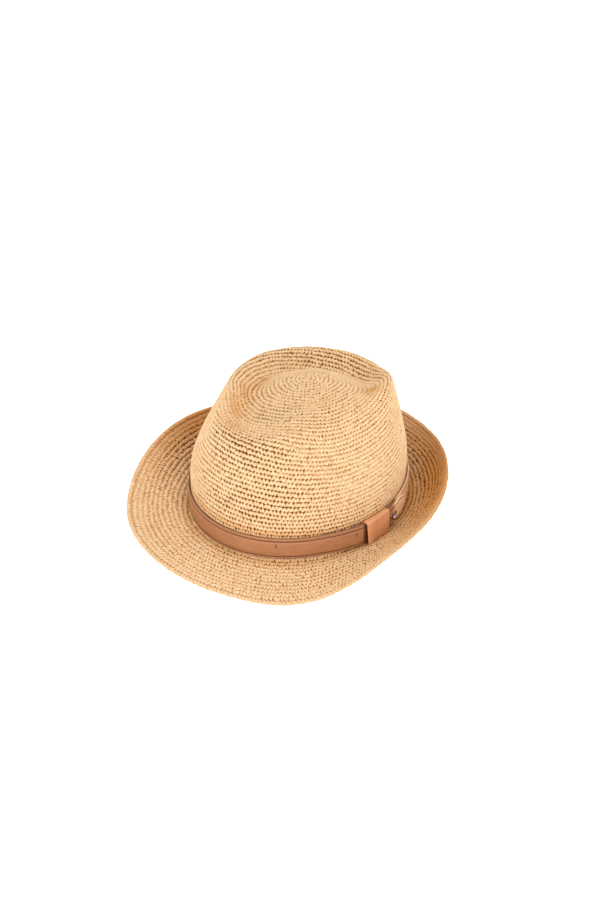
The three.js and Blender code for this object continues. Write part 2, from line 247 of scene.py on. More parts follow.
# %% [markdown]
# ## Rounds of crochet
# A round is a closed ring of stitches. The photograph shows about 48 rounds from the tip to
# the foot of the crown and 13 in the brim, each of them about 3.5 mm high. We measure
# along the surface, so that every round gets the same share of it, and keep a fine table of
# points and normals from which any place on the hat can be read.

# %% Measure the surface in rounds
CROWN_ROUNDS = 48
BRIM_ROUNDS = 13
ROUNDS = CROWN_ROUNDS + BRIM_ROUNDS
BAND_ROUNDS = 6               # rounds of the crown that hide behind the leather band
FINE_ROUND = 8                # table rows for each round
FINE_ANGLES = 720
CIRCLES = 0.85                # how nearly the first rounds are true circles


def spread_evenly(profile, count, circles=0):
    """The same profile with points at equal lengths, for each angle."""
    steps = np.linalg.norm(np.diff(profile, axis=0), axis=-1)
    length = np.concatenate([np.zeros((1, steps.shape[1])), np.cumsum(steps, axis=0)])
    even = np.empty((count + 1, profile.shape[1], 3))
    share = np.linspace(0, 1, count + 1)
    circle = circles * (1 - share) ** 2
    for k in range(profile.shape[1]):
        wanted = share * blend(length[-1, k], length[-1].mean(), circle)
        for axis in range(3):
            even[:, k, axis] = np.interp(wanted, length[:, k], profile[:, k, axis])
    return even


def surface_table():
    angle = np.arange(FINE_ANGLES) * 2 * math.pi / FINE_ANGLES
    brim = brim_profile(angle)
    crown = np.concatenate([crown_profile(angle), brim[:1]])
    crown = spread_evenly(crown, CROWN_ROUNDS * FINE_ROUND, CIRCLES)
    brim = spread_evenly(brim, BRIM_ROUNDS * FINE_ROUND)
    outside = np.concatenate([crown, brim[1:]])
    down = np.gradient(outside, axis=0)
    along = np.roll(outside, -1, axis=1) - np.roll(outside, 1, axis=1)
    normal = np.cross(down, along)
    normal[0] = (0, 0, 1)
    normal /= np.linalg.norm(normal, axis=-1, keepdims=True)
    return outside - normal * WALL / 2, normal


MIDDLE, NORMAL = surface_table()
print("Surface table:", MIDDLE.shape[:2], "top at", round(float(MIDDLE[..., 2].max()), 1), "mm")


# %% Read any place on the hat
def on_hat(rounds, angle, lift):
    """Points at a place in rounds and radians, lifted off the middle of the wall, in metres."""
    row = np.clip(rounds * FINE_ROUND, 0, len(MIDDLE) - 1.001)
    column = np.mod(angle / (2 * math.pi), 1) * FINE_ANGLES
    i = np.floor(row).astype(int)
    k = np.floor(column).astype(int) % FINE_ANGLES
    row = (row - i)[..., None]
    column = (column - np.floor(column))[..., None]
    next_k = (k + 1) % FINE_ANGLES
    point = 0
    normal = 0
    for at_i, weight_i in ((i, 1 - row), (i + 1, row)):
        for at_k, weight_k in ((k, 1 - column), (next_k, column)):
            point = point + MIDDLE[at_i, at_k] * weight_i * weight_k
            normal = normal + NORMAL[at_i, at_k] * weight_i * weight_k
    return in_place(point + normal * np.asarray(lift)[..., None])


def in_place(point):
    """From the hat's own upright frame to the table, in metres."""
    turned = point.copy()
    turned[..., 1] = point[..., 1] * math.cos(LEAN) - point[..., 2] * math.sin(LEAN)
    turned[..., 2] = point[..., 1] * math.sin(LEAN) + point[..., 2] * math.cos(LEAN)
    return (turned + HAT_PLACE) * MM


def ring_angles(rounds):
    """The length of a ring in millimetres and its angles at even steps of that length."""
    angle = np.arange(FINE_ANGLES + 1) * 2 * math.pi / FINE_ANGLES
    ring = on_hat(np.full_like(angle, rounds), angle, np.zeros_like(angle)) / MM
    length = np.concatenate([[0], np.cumsum(np.linalg.norm(np.diff(ring, axis=0), axis=-1))])
    even = np.interp(np.linspace(0, length[-1], FINE_ANGLES + 1), length, angle)
    return length[-1], even


print("Foot of the crown:", round(ring_angles(CROWN_ROUNDS)[0]), "mm round")

# %% [markdown]
# ## One strand of raffia
# Raffia is a flat fibre from a palm leaf. Each half of a stitch is one strand that comes out
# of the round before, bulges over it and dives back. It is modelled once, straight, from a
# four-sided cylinder with two cuts, and each of the thousands of copies is bent to its path
# on the hat. Its straight coordinates are kept as an attribute, so that the grain of the
# fibre can follow every bend.

# %% Model the straight strand
RIGHT_ANGLE = math.radians(90)
STRAND_CUTS = (1 / 3, 2 / 3)


def co_array(piece):
    corners = np.empty(len(piece.data.vertices) * 3)
    piece.data.vertices.foreach_get("co", corners)
    return corners.reshape(-1, 3)


def cut_cylinder(sides, rotation, middle, axis, cuts):
    """Corners and faces of a closed cylinder, one unit long along an axis, with cuts across."""
    bpy.ops.mesh.primitive_cylinder_add(vertices=sides, radius=1, depth=1, end_fill_type="TRIFAN",
                                        rotation=rotation, location=middle)
    piece = bpy.context.object
    bpy.ops.object.transform_apply(location=True, rotation=True, scale=True)
    bpy.ops.object.mode_set(mode="EDIT")
    for place in cuts:
        bpy.ops.mesh.select_all(action="SELECT")
        bpy.ops.mesh.bisect(plane_co=Vector(axis) * place, plane_no=axis)
    bpy.ops.object.mode_set(mode="OBJECT")
    corners = co_array(piece)
    faces = [tuple(face.vertices) for face in piece.data.polygons]
    bpy.data.objects.remove(piece)
    return corners, faces


strand = cut_cylinder(4, (-RIGHT_ANGLE, 0, 0), (0, 0.5, 0), (0, 1, 0), STRAND_CUTS)
STRAND_CORNERS, STRAND_FACES = strand
print("Strand:", len(STRAND_CORNERS), "corners,", len(STRAND_FACES), "faces")


# %% Bend a strand along a path
def bent_strand(path):
    """The strand's corners along a path.

    Columns of a path: across in stitches, along in rounds, lift in mm, half width and half
    thickness in mm. Returns across, along and lift for each corner of the strand.
    """
    path = np.array(path, float)
    at = STRAND_CORNERS[:, 1] * (len(path) - 1)
    read = [np.interp(at, np.arange(len(path)), path[:, k]) for k in range(5)]
    rise = np.maximum(np.gradient(path[:, 1] * ROUND_HEIGHT), SMALLEST_RISE)
    slope = np.gradient(path[:, 0] * STITCH) / rise
    slope = np.interp(at, np.arange(len(path)), slope)
    sideways = STRAND_CORNERS[:, 0] * read[3]
    turn = np.arctan(slope)
    across = read[0] + sideways * np.cos(turn) / STITCH
    along = read[1] - sideways * np.sin(turn) / ROUND_HEIGHT
    lift = read[2] + STRAND_CORNERS[:, 2] * read[4]
    return np.stack([across, along, lift], axis=-1)


# %% [markdown]
# ## The paths of a stitch
# In single crochet the two legs of a stitch form a narrow V. It starts deep under the round
# before, rises over the core and spreads to the neighbours' legs. The legs of a round lie so
# close that they look like a rope. A small gap stays open in the mouth of each V, which
# gives the dotted dark line between two rounds. The last round is the edging: slanted
# strands wrapped close together over the rim.

# %% Draw the paths
STITCH = 3.0                  # width of a stitch
ROUND_HEIGHT = 3.5
SMALLEST_RISE = 0.1           # mm, so that a slope is never divided by nothing

TIGHT_LEG = bent_strand((
    (0.06, -0.20, -0.34, 0.60, 0.40),
    (0.15, 0.13, 0.44, 0.95, 0.46),
    (0.31, 0.53, 0.44, 1.00, 0.46),
    (0.46, 0.89, -0.34, 0.70, 0.40),
))
LOOSE_LEG = bent_strand((
    (0.08, -0.13, -0.50, 0.36, 0.40),
    (0.17, 0.17, 0.52, 0.74, 0.50),
    (0.29, 0.47, 0.60, 0.84, 0.50),
    (0.43, 0.79, -0.50, 0.44, 0.42),
))
EDGING_STRAND = bent_strand((
    (-0.50, 0.02, -0.35, 0.80, 0.40),
    (-0.18, 0.26, 0.62, 1.25, 0.50),
    (0.18, 0.72, 0.70, 1.25, 0.50),
    (0.50, 0.98, -0.30, 0.90, 0.45),
))
OTHER_LEG = np.array((-1, 1, 1))
OTHER_SIDE = np.array((1, 1, -1))
print("Leg of a stitch, tallest lift:", round(float(LOOSE_LEG[:, 2].max()), 2), "mm")


# %% [markdown]
# ## Tight and loose places
# Where the crochet is pulled over a bend its stitches open, as under the front crease, on the
# back of the dent and in the curled sides of the brim. The ridge and the front of the brim
# stay close.

# %% How loose the crochet is
# Columns: round, degrees, reach in rounds, reach in degrees, how loose
LOOSE_PLACES = (
    (24.5, -8, 1.5, 24, 0.75),
    (27.5, -6, 2.5, 26, 0.35),
    (36.0, 4, 8.0, 40, 0.36),
    (18.5, 180, 2.2, 75, 0.42),
    (14.5, 0, 4.0, 32, 0.30),
    (19.5, -48, 3.0, 18, -0.90),
    (16.0, 110, 3.0, 25, -0.50),
    (34.0, -60, 9.0, 22, -0.45),
    (32.0, 80, 9.0, 35, -0.25),
    (55.0, 0, 6.0, 60, -0.15),
    (54.5, 105, 5.0, 45, 0.55),
    (54.0, -105, 5.0, 38, 0.40),
)
LOOSE_EVERYWHERE = 0.12
BRIM_TIGHT = 0.08             # how much closer the brim is worked
BRIM_UNEVEN = 1.35            # and how much less evenly
RIM_TIGHT = 2.6               # rounds at the rim that are drawn in close
RIM_PULL = 0.6                # and how much closer
ALL_ROUND = 999               # a reach in degrees that goes evenly round the hat
BAND_PRESS = 0.92             # how much of its lift the crochet keeps behind the band


def patches_at(places, rounds, angle):
    """The sum of soft patches, each given by one row of a table."""
    total = np.zeros(np.shape(angle))
    for middle, degrees, reach, spread, amount in places:
        aside = np.mod(np.degrees(angle) - degrees + 180, 360) - 180
        total = total + amount * np.exp(-((rounds - middle) / reach) ** 2 - (aside / spread) ** 2)
    return total


def looseness(rounds, angle):
    """Near 0 where the stitches are pulled tight and near 1 where their holes are open."""
    loose = LOOSE_EVERYWHERE + patches_at(LOOSE_PLACES, rounds, angle)
    loose = loose - BRIM_TIGHT * np.clip(rounds - CROWN_ROUNDS + 1, 0, 1)
    return loose - RIM_PULL * np.clip(rounds - (ROUNDS - 1 - RIM_TIGHT), 0, 1)


# Columns: size in rounds, waves in a round, turn from one round to the next
WOBBLES = ((0.08, 5, 0.5), (0.05, 13, -0.8), (0.02, 29, 1.1))


def wobble(number, angle):
    """How far a round strays, in rounds, as no two are quite parallel."""
    return sum(size * np.sin(waves * angle + turn * number) for size, waves, turn in WOBBLES)


# Columns: round, degrees, reach in rounds, reach in degrees, how much painted shade
PAINTED_SHADE_PLACES = (
    (56.5, 114, 5.5, 46, 0.42),
    (58.0, -118, 5.0, 40, 0.42),
    (51.0, 108, 3.5, 36, 0.16),
    (14.6, 113, 1.9, 10, 0.34),
    (14.0, -62, 1.6, 16, 0.26),
    (17.5, -42, 1.8, 12, 0.26),
    (21.5, -22, 1.8, 10, 0.20),
    (12.0, -92, 1.4, 20, 0.20),
    (42.3, 0, 0.9, ALL_ROUND, 0.22),
    (48.7, 0, 1.2, ALL_ROUND, 0.22),
)


def painted_shade_at(rounds, angle):
    """Painted shade: the raffia is made a deeper orange in the brim's curl, in the creases and beside the
    band.
    """
    return patches_at(PAINTED_SHADE_PLACES, rounds, angle)


def pressed(number):
    """The band presses the rounds behind it flatter."""
    return BAND_PRESS if CROWN_ROUNDS - BAND_ROUNDS <= number < CROWN_ROUNDS else 1.0


print("Looseness at the crease:", round(float(looseness(24, np.zeros(1))[0]), 2))


# %% Lay a copy on every place
def mesh_from_copies(name, corners, faces):
    """One mesh from corners[copy, corner], with the same faces for each copy."""
    copies, each = corners.shape[:2]
    loops = np.concatenate([np.array(face) for face in faces])
    sizes = np.array([len(face) for face in faces])
    index = (loops[None, :] + np.arange(copies)[:, None] * each).ravel()
    totals = np.tile(sizes, copies)
    mesh = bpy.data.meshes.new(name)
    mesh.vertices.add(copies * each)
    mesh.vertices.foreach_set("co", corners.reshape(-1))
    mesh.loops.add(len(index))
    mesh.loops.foreach_set("vertex_index", index)
    mesh.polygons.add(len(totals))
    mesh.polygons.foreach_set("loop_start", np.concatenate([[0], np.cumsum(totals)[:-1]]))
    mesh.update(calc_edges=True)
    return placed(name, mesh)


def placed(name, mesh):
    piece = bpy.data.objects.new(name, mesh)
    bpy.context.scene.collection.objects.link(piece)
    return piece


def keep_vector(piece, name, values):
    """Keeps a vector at each corner, for the colours to read."""
    attribute = piece.data.attributes.new(name, "FLOAT_VECTOR", "POINT")
    attribute.data.foreach_set("vector", np.asarray(values, float).reshape(-1))


def keep_fibre(piece, grain, deep):
    """The two attributes that the raffia's colour reads."""
    keep_vector(piece, "grain", grain)
    # deep holds how much painted shade each corner gets
    attribute = piece.data.attributes.new("deep", "FLOAT", "POINT")
    attribute.data.foreach_set("value", np.asarray(deep, float).reshape(-1))


# %% Crochet one round
FEWEST_STITCHES = 6
RIM_STOP = 0.02               # rounds that stay free at the tip and at the rim
UNEVEN_OPEN = 0.28            # how unevenly the stitches are opened
UNEVEN_PLACE = 0.07           # and placed along a round, in stitches
UNEVEN_ROUND = 0.05           # and placed across it, in rounds
UNEVEN_LIFT = 0.07            # and lifted, in mm
DIVE_START = 0.1              # lift in mm under which a strand gets painted shade
DIVE_DEPTH = 0.8              # mm from there to its most shaded place
DIVE_SHADE = 0.4               # how much painted shade it gets there


def stitches_in(number):
    """The number of stitches in a round, and its angles at even steps of length."""
    length, angles = ring_angles(number + 0.5)
    return max(FEWEST_STITCHES, round(length / STITCH)), angles


def angle_at(share, angles):
    return np.interp(np.mod(share, 1) * FINE_ANGLES, np.arange(FINE_ANGLES + 1), angles)


def within_hat(rounds):
    return np.clip(rounds, RIM_STOP, ROUNDS - RIM_STOP)


def lay_round(number, tight, loose, rng):
    """Corners, lifts and painted shade of all copies of a bent strand in one round."""
    count, angles = stitches_in(number)
    uneven = BRIM_UNEVEN if number >= CROWN_ROUNDS else 1.0
    place = np.arange(count) + 0.5 * (number % 2)
    open_share = looseness(number, angle_at(place / count, angles))
    open_share = open_share + rng.normal(0, UNEVEN_OPEN * uneven, count)
    shape = blend(tight[None], loose[None], open_share[:, None, None])
    place = place + rng.normal(0, UNEVEN_PLACE * uneven, count)
    angle = angle_at((place[:, None] + shape[..., 0]) / count, angles)
    rounds = number + shape[..., 1] + wobble(number, angle)
    rounds = rounds + rng.normal(0, UNEVEN_ROUND * uneven, count)[:, None]
    lift = shape[..., 2] + rng.normal(0, UNEVEN_LIFT * uneven, count)[:, None]
    lift = lift * pressed(number)
    return on_hat(within_hat(rounds), angle, lift), lift, painted_shade_at(number, angle)


def crochet(first, last):
    """Corners, grain and painted shade of the stitches of rounds first to last - 1."""
    rng = np.random.default_rng(first + 11)
    laid = []
    for number in range(first, last):
        if number == ROUNDS - 1:
            tight = loose = EDGING_STRAND
            mirror = OTHER_SIDE
        else:
            tight, loose = TIGHT_LEG, LOOSE_LEG
            mirror = OTHER_LEG
        laid.append(lay_round(number, tight, loose, rng))
        laid.append(lay_round(number, tight * mirror, loose * mirror, rng))
    corners, lift, painted_tint = (np.concatenate(parts) for parts in zip(*laid))
    grain = STRAND_CORNERS[None].repeat(len(corners), axis=0) * (1, 1, 0)
    grain[..., 2] = rng.random(len(corners))[:, None]
    # painted shade where a strand dives under its neighbours, plus the painted shade patches
    return corners, grain, DIVE_SHADE * np.clip((DIVE_START - lift) / DIVE_DEPTH, 0, 1) + painted_tint


print("Stitches in round 30:", round(ring_angles(30.5)[0] / STITCH))

# %% [markdown]
# ## Wires for the shader maths
# Colours are worked out by nodes. Written as ordinary sums they are easier to read, so a
# small class wraps a socket and turns + - * into Math nodes. A finish is one material. Its
# methods add nodes, fade between two values and paint over the colour it has so far.

# %% A class for sockets and one for finishes
class Signal:
    def __init__(self, finish, socket):
        self.finish = finish
        self.socket = socket

    def sum(self, operation, other):
        return self.finish.add("Math", dict(operation=operation), {0: self, 1: other})

    def __add__(self, other):
        return self.sum("ADD", other)

    def __sub__(self, other):
        return self.sum("SUBTRACT", other)

    def __mul__(self, other):
        return self.sum("MULTIPLY", other)

    __radd__ = __add__


class Finish:
    """A material with one Principled shader."""

    def __init__(self, name, **constants):
        self.material = bpy.data.materials.new(name)
        self.material.use_nodes = True
        self.tree = self.material.node_tree
        self.shader = self.tree.nodes["Principled BSDF"]
        for socket, value in constants.items():
            self.shader.inputs[socket.replace("_", " ")].default_value = value

    def add(self, kind, settings=None, inputs=None, output=0):
        """A node of any kind: its settings first, then the values or links of its sockets."""
        node = self.tree.nodes.new("ShaderNode" + kind)
        for name, value in (settings or {}).items():
            if name == "stops":
                self.set_stops(node.color_ramp, value)
            else:
                setattr(node, name, value)
        for name, value in (inputs or {}).items():
            self.feed(node.inputs[name], value)
        return Signal(self, node.outputs[output])

    def set_stops(self, ramp, stops):
        while len(ramp.elements) < len(stops):
            ramp.elements.new(1)
        for element, (position, colour) in zip(ramp.elements, stops):
            element.position = position
            element.color = (*colour, 1)

    def feed(self, socket, value):
        if isinstance(value, Signal):
            self.tree.links.new(value.socket, socket)
        else:
            socket.default_value = value

    def mix(self, share, first, second):
        pair = [(*c, 1) if isinstance(c, tuple) else c for c in (first, second)]
        return self.add("Mix", dict(data_type="RGBA"), {0: share, 6: pair[0], 7: pair[1]}, output=2)

    def noise(self, vector, scale, detail=2.0):
        return self.add("TexNoise", None, dict(Vector=vector, Scale=scale, Detail=detail))

    def stretched(self, vector, scale):
        return self.add("VectorMath", dict(operation="MULTIPLY"), {0: vector, 1: scale})

    def attribute(self, name, output="Vector"):
        return self.add("Attribute", dict(attribute_name=name), None, output)

    def object_place(self):
        return self.add("TexCoord", None, None, "Object")

    def part(self, vector, axis):
        return self.add("SeparateXYZ", None, {0: vector}, axis)

    def fade(self, value, start, end, first, last):
        """Goes from first to last while the value goes from start to end."""
        return self.add("MapRange", None, {0: value, 1: start, 2: end, 3: first, 4: last})

    def beside(self, value, place):
        """How far a value is from a place, on either side."""
        return self.add("Math", dict(operation="ABSOLUTE"), {0: value - place})

    def paint_over(self, share, colour):
        below = Signal(self, self.shader.inputs["Base Color"].links[0].from_socket)
        self.put("Base Color", self.mix(share, below, colour))

    def put(self, name, value):
        self.feed(self.shader.inputs[name], value)

    def bump(self, height, distance, strength):
        inputs = dict(Height=height, Distance=distance, Strength=strength)
        self.put("Normal", self.add("Bump", None, inputs))


# %% [markdown]
# ## Raffia
# Dried raffia is a warm straw yellow. Each strand has its own tone and thin darker fibres run
# along it. Painted shade makes it a little pinker and darker where it dives between the
# stitches, in the holes, in the brim's curl, in the creases and beside the band.

# %% Make the raffia
STRAW = (0.87, 0.63, 0.38)
PALE_STRAW = (0.96, 0.775, 0.52)
FIBRE_BROWN = (0.66, 0.38, 0.17)
PATCH_TONE = (0.92, 0.60, 0.33)
FLECK_BROWN = (0.60, 0.32, 0.13)
ODD_STRAND = (0.66, 0.38, 0.16)
# painted shade: a warm orange in shaded curls and creases, dark brown in the holes
SHADE_ORANGE = (0.62, 0.27, 0.055)
SHADE_BROWN = (0.15, 0.042, 0.007)


def make_raffia():
    raffia = Finish("raffia", Roughness=0.6, Specular_IOR_Level=0.06)
    grain = raffia.attribute("grain")
    fibres = raffia.noise(raffia.stretched(grain, (3.2, 0.9, 40.0)), 2.0, 3.0)
    strand_chance = raffia.part(grain, "Z")
    place = raffia.object_place()
    patches = raffia.noise(place, 28.0)
    deep = raffia.attribute("deep", "Fac")
    flecks = raffia.noise(place, 700.0, 1.0)
    odd = raffia.fade(strand_chance, 0.80, 1.0, 0.0, 0.55)
    raffia.put("Base Color", raffia.mix(strand_chance, STRAW, PALE_STRAW))
    for share, colour in (
        (fibres * 0.3, FIBRE_BROWN),
        (patches * 0.2, PATCH_TONE),
        (flecks * flecks * 0.8, FLECK_BROWN),
        (odd, ODD_STRAND),
        # painted shade, read from the deep attribute
        (deep * 2.0, SHADE_ORANGE),
        (deep * 2.0 - 1.0, SHADE_BROWN),
    ):
        raffia.paint_over(share, colour)
    raffia.bump(fibres, 0.0003, 0.4)
    return raffia.material


RAFFIA = make_raffia()
print("Raffia nodes:", len(RAFFIA.node_tree.nodes))

# %% [markdown]
# ## Crochet the hat
# The crochet is one piece on the real hat. Here it is cut into five belts of whole rounds,
# only to keep each mesh light.

# %% Lay the belts
BELTS = {
    "crochet_tip": (0, 22),
    "crochet_upper_wall": (22, 36),
    "crochet_lower_wall": (36, CROWN_ROUNDS),
    "crochet_inner_brim": (CROWN_ROUNDS, CROWN_ROUNDS + 7),
    "crochet_outer_brim": (CROWN_ROUNDS + 7, ROUNDS),
}


def finish_piece(piece, material):
    piece.data.materials.clear()
    piece.data.materials.append(material)
    piece.data.polygons.foreach_set("use_smooth", np.ones(len(piece.data.polygons), bool))
    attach(piece, "root")


CORE_SIDES = 5
CORE_SHAPE = (0.02, 0.63, -0.42, 0.50)       # middle and half height in rounds, in mm
EDGE_CORE_SHAPE = (0.50, 0.47, 0.00, 0.75)
CROWN_CORE_SHADE = 0.66        # painted shade on the core between the stitches of the crown, for the shade in the holes
BRIM_CORE_SHADE = 0.50         # and of the brim
LOOSE_MORE_SHADE = 0.8            # how much more painted shade it gets where they are loose
CORE_SHADE_LIMITS = (0.2, 0.96)
INNER_SHADE = 0.15             # and the painted shade on its side towards the inside of the hat


def core_ring(number, core_shape):
    """The core that a round of stitches is worked over, as a ring of sections, and its painted shade."""
    count, angles = stitches_in(number)
    angle = angle_at(np.arange(count) / count, angles)[:, None]
    turn = np.arange(CORE_SIDES)[None] * 2 * math.pi / CORE_SIDES + RIGHT_ANGLE
    along, half_along, up, half_up = core_shape
    rounds = number + along + wobble(number, angle) + half_along * np.cos(turn)
    lift = (up + half_up * np.sin(turn)) * pressed(number)
    dark = BRIM_CORE_SHADE if number >= CROWN_ROUNDS else CROWN_CORE_SHADE
    dark = dark + LOOSE_MORE_SHADE * looseness(number, angle) + painted_shade_at(number, angle)
    # the core's outer half is painted dark brown, as the shade seen through the holes between stitches
    deep = np.where(np.sin(turn) > 0, np.clip(dark, *CORE_SHADE_LIMITS), INNER_SHADE)
    return on_hat(within_hat(rounds), angle + 0 * turn, lift + 0 * angle), deep


def belt_cores(first, last):
    rings = [core_ring(number, CORE_SHAPE) for number in range(first, last)]
    if last == ROUNDS:
        rings.append(core_ring(last - 1, EDGE_CORE_SHAPE))
    return rings


def ring_mesh(name, rings, seed):
    """Closed tubes through the sections of each ring as one mesh."""
    rng = np.random.default_rng(seed)
    corners = []
    faces = []
    grain = []
    deep = []
    start = 0
    for ring, ring_shade in rings:
        count, sides = ring.shape[:2]
        i, k = np.meshgrid(np.arange(count), np.arange(sides), indexing="ij")
        next_i = (i + 1) % count
        next_k = (k + 1) % sides
        here, ahead = i * sides, next_i * sides
        quad = np.stack([here + k, here + next_k, ahead + next_k, ahead + k], -1)
        faces.append(quad.reshape(-1, 4) + start)
        corners.append(ring.reshape(-1, 3))
        across = np.cos(k * 2 * math.pi / sides)
        grain.append(np.stack([across, i * 0.5, np.full(i.shape, rng.random())], -1).reshape(-1, 3))
        deep.append(ring_shade.ravel())
        start += count * sides
    mesh = bpy.data.meshes.new(name)
    mesh.from_pydata(np.concatenate(corners), [], np.concatenate(faces))
    piece = placed(name, mesh)
    keep_fibre(piece, np.concatenate(grain), np.concatenate(deep))
    return piece


def select(pieces):
    bpy.ops.object.select_all(action="DESELECT")
    for piece in pieces:
        piece.select_set(True)
    bpy.context.view_layer.objects.active = pieces[0]


def joined(name, pieces):
    """Joins meshes into one object, as with Ctrl J."""
    select(pieces)
    bpy.ops.object.join()
    result = bpy.context.object
    result.name = name
    result.data.name = name
    result.select_set(False)
    return result


def outward(piece):
    """Turns all faces of closed shells outwards."""
    select([piece])
    bpy.ops.object.mode_set(mode="EDIT")
    bpy.ops.mesh.select_all(action="SELECT")
    bpy.ops.mesh.normals_make_consistent(inside=False)
    bpy.ops.object.mode_set(mode="OBJECT")
    piece.select_set(False)


for belt, (first, last) in BELTS.items():
    corners, grain, deep = crochet(first, last)
    stitches = mesh_from_copies(belt, corners, STRAND_FACES)
    keep_fibre(stitches, grain, deep)
    cores = ring_mesh(belt + "_core", belt_cores(first, last), first)
    piece = joined(belt, [stitches, cores])
    outward(piece)
    finish_piece(piece, RAFFIA)
    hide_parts("hat_body")
    print(belt, sum(len(face.vertices) - 2 for face in piece.data.polygons), "triangles")

# %% [markdown]
# ## The leather band
# The band is one long strap. It goes once round the crown from under the keeper, passes over
# its own start, is held by the ball stud and ends in a point. The next cell works out how far
# it stands off the crown, so that flat pieces of leather can be wrapped onto the hat.

# %% Sizes of the leather
STRAP_START = 58              # degrees
STRAP_END = 360 + 99
STRAP_LOW = 1.6               # heights above the root of the brim, in mm
STRAP_HIGH = 20.1
STRAP_THICKNESS = 1.4
CLEARANCE = 0.3
LAYER = STRAP_THICKNESS + CLEARANCE
TAPER = 17
POINT_SHARE = 0.24            # of the strap's height that is left at the start of its round end
KEEPER_ANGLE = 70
KEEPER_WIDTH = 25
KEEPER_THICKNESS = 1.0
STUD_ANGLE = 82
STUD_FOOT = 6                 # width of the stud's foot
RAMP = 8                      # degrees over which the strap climbs over the keeper and the stud
LEAD = 1                      # degrees before them at which it is all the way up
MIDDLE_HEIGHT = 11.3          # height of the strap's point and of the stud
NOSE = 2.2                    # mm over which the very end of the point is rounded
NOSE_END = 0.08               # share of the height that is left there


def smoothstep(value, low, high):
    share = np.clip((value - low) / (high - low), 0, 1)
    return share * share * (3 - 2 * share)


def arc_per_degree(degrees):
    angle = math.radians(degrees)
    return math.hypot(HEAD_WIDTH / 2 * math.cos(angle), HEAD_LENGTH / 2 * math.sin(angle)) * math.pi / 180


def strap_offset(degrees):
    """Millimetres from the crown to the back of the strap, along its two layers."""
    within = np.mod(degrees, 360)
    before = KEEPER_ANGLE - KEEPER_WIDTH / 2 / arc_per_degree(KEEPER_ANGLE)
    behind = STUD_ANGLE + STUD_FOOT / 2 / arc_per_degree(STUD_ANGLE)
    opens = smoothstep(within, before - RAMP, before - LEAD)
    closes = smoothstep(within, behind + LEAD, behind + RAMP)
    second = 360 + STRAP_START
    climb = smoothstep(degrees, second - 2 * RAMP, second - 2 * LEAD)
    return CLEARANCE + (opens - closes) * (KEEPER_THICKNESS + CLEARANCE) + climb * LAYER


def strap_lengths():
    """Degrees along the strap and the length of its front from the start."""
    degrees = np.linspace(STRAP_START, STRAP_END, 4 * (STRAP_END - STRAP_START) + 1)
    front = beside_foot(np.radians(degrees), strap_offset(degrees) + STRAP_THICKNESS, 0)
    steps = np.linalg.norm(np.diff(front, axis=0), axis=-1)
    return degrees, np.concatenate([[0], np.cumsum(steps)])


DEGREES_ALONG, LENGTH_ALONG = strap_lengths()
STRAP_LENGTH = LENGTH_ALONG[-1]


def place_along(degrees):
    return float(np.interp(degrees, DEGREES_ALONG, LENGTH_ALONG))


def wrapped(points):
    """Flat leather onto the hat: along, height and out of the strap's front, all in mm."""
    degrees = np.interp(points[:, 0], LENGTH_ALONG, DEGREES_ALONG)
    left = STRAP_LENGTH - points[:, 0]
    half_share = blend(1.0, POINT_SHARE, np.clip(1 - left / TAPER, 0, 1) ** 2)
    nose = np.clip(left / NOSE, 0, 1)
    half_share = half_share * np.sqrt(1 - (1 - nose) ** 2).clip(NOSE_END)
    height = MIDDLE_HEIGHT + (points[:, 1] - MIDDLE_HEIGHT) * half_share
    offset = strap_offset(degrees) + STRAP_THICKNESS + points[:, 2]
    return in_place(beside_foot(np.radians(degrees), offset, height))


print("Length of the strap:", round(STRAP_LENGTH), "mm")

# %% [markdown]
# ## Modelling the strap flat
# A leather worker cuts the strap flat, presses a line along each edge and sews in it. We do
# the same: a grid is drawn flat, given its pressed lines and rounded edges, extruded to its
# thickness and cut with a hole and a slit for the stud. Only then is it wrapped round the hat.

# %% Model the flat strap
# Columns: height, how far the front stands out
STRAP_ROWS = (
    (STRAP_LOW, -0.50),
    (1.75, -0.15),
    (2.30, 0.04),
    (2.95, 0.00),
    (3.15, -0.32),
    (3.75, -0.32),
    (3.95, 0.02),
    (5.40, 0.16),
    (8.00, 0.22),
    (12.50, 0.22),
    (15.20, 0.16),
    (16.75, 0.02),
    (16.95, -0.32),
    (17.50, -0.32),
    (17.70, 0.02),
    (18.80, 0.10),
    (19.60, 0.02),
    (19.95, -0.18),
    (STRAP_HIGH, -0.50),
)
STRAP_COLUMNS = 330
TIP_COLUMNS = 40
STRAP_BACK = 1.25
LOWER_LINE = 3.45
UPPER_LINE = 17.2


def flat_positions():
    long_part = np.linspace(0, STRAP_LENGTH - TAPER, STRAP_COLUMNS - TIP_COLUMNS + 1)
    tip_part = STRAP_LENGTH - TAPER * (1 - np.linspace(0, 1, TIP_COLUMNS + 1)[1:]) ** 1.5
    return np.concatenate([long_part, tip_part])


def set_co(piece, corners):
    piece.data.vertices.foreach_set("co", np.ascontiguousarray(corners, float).reshape(-1))
    piece.data.update()


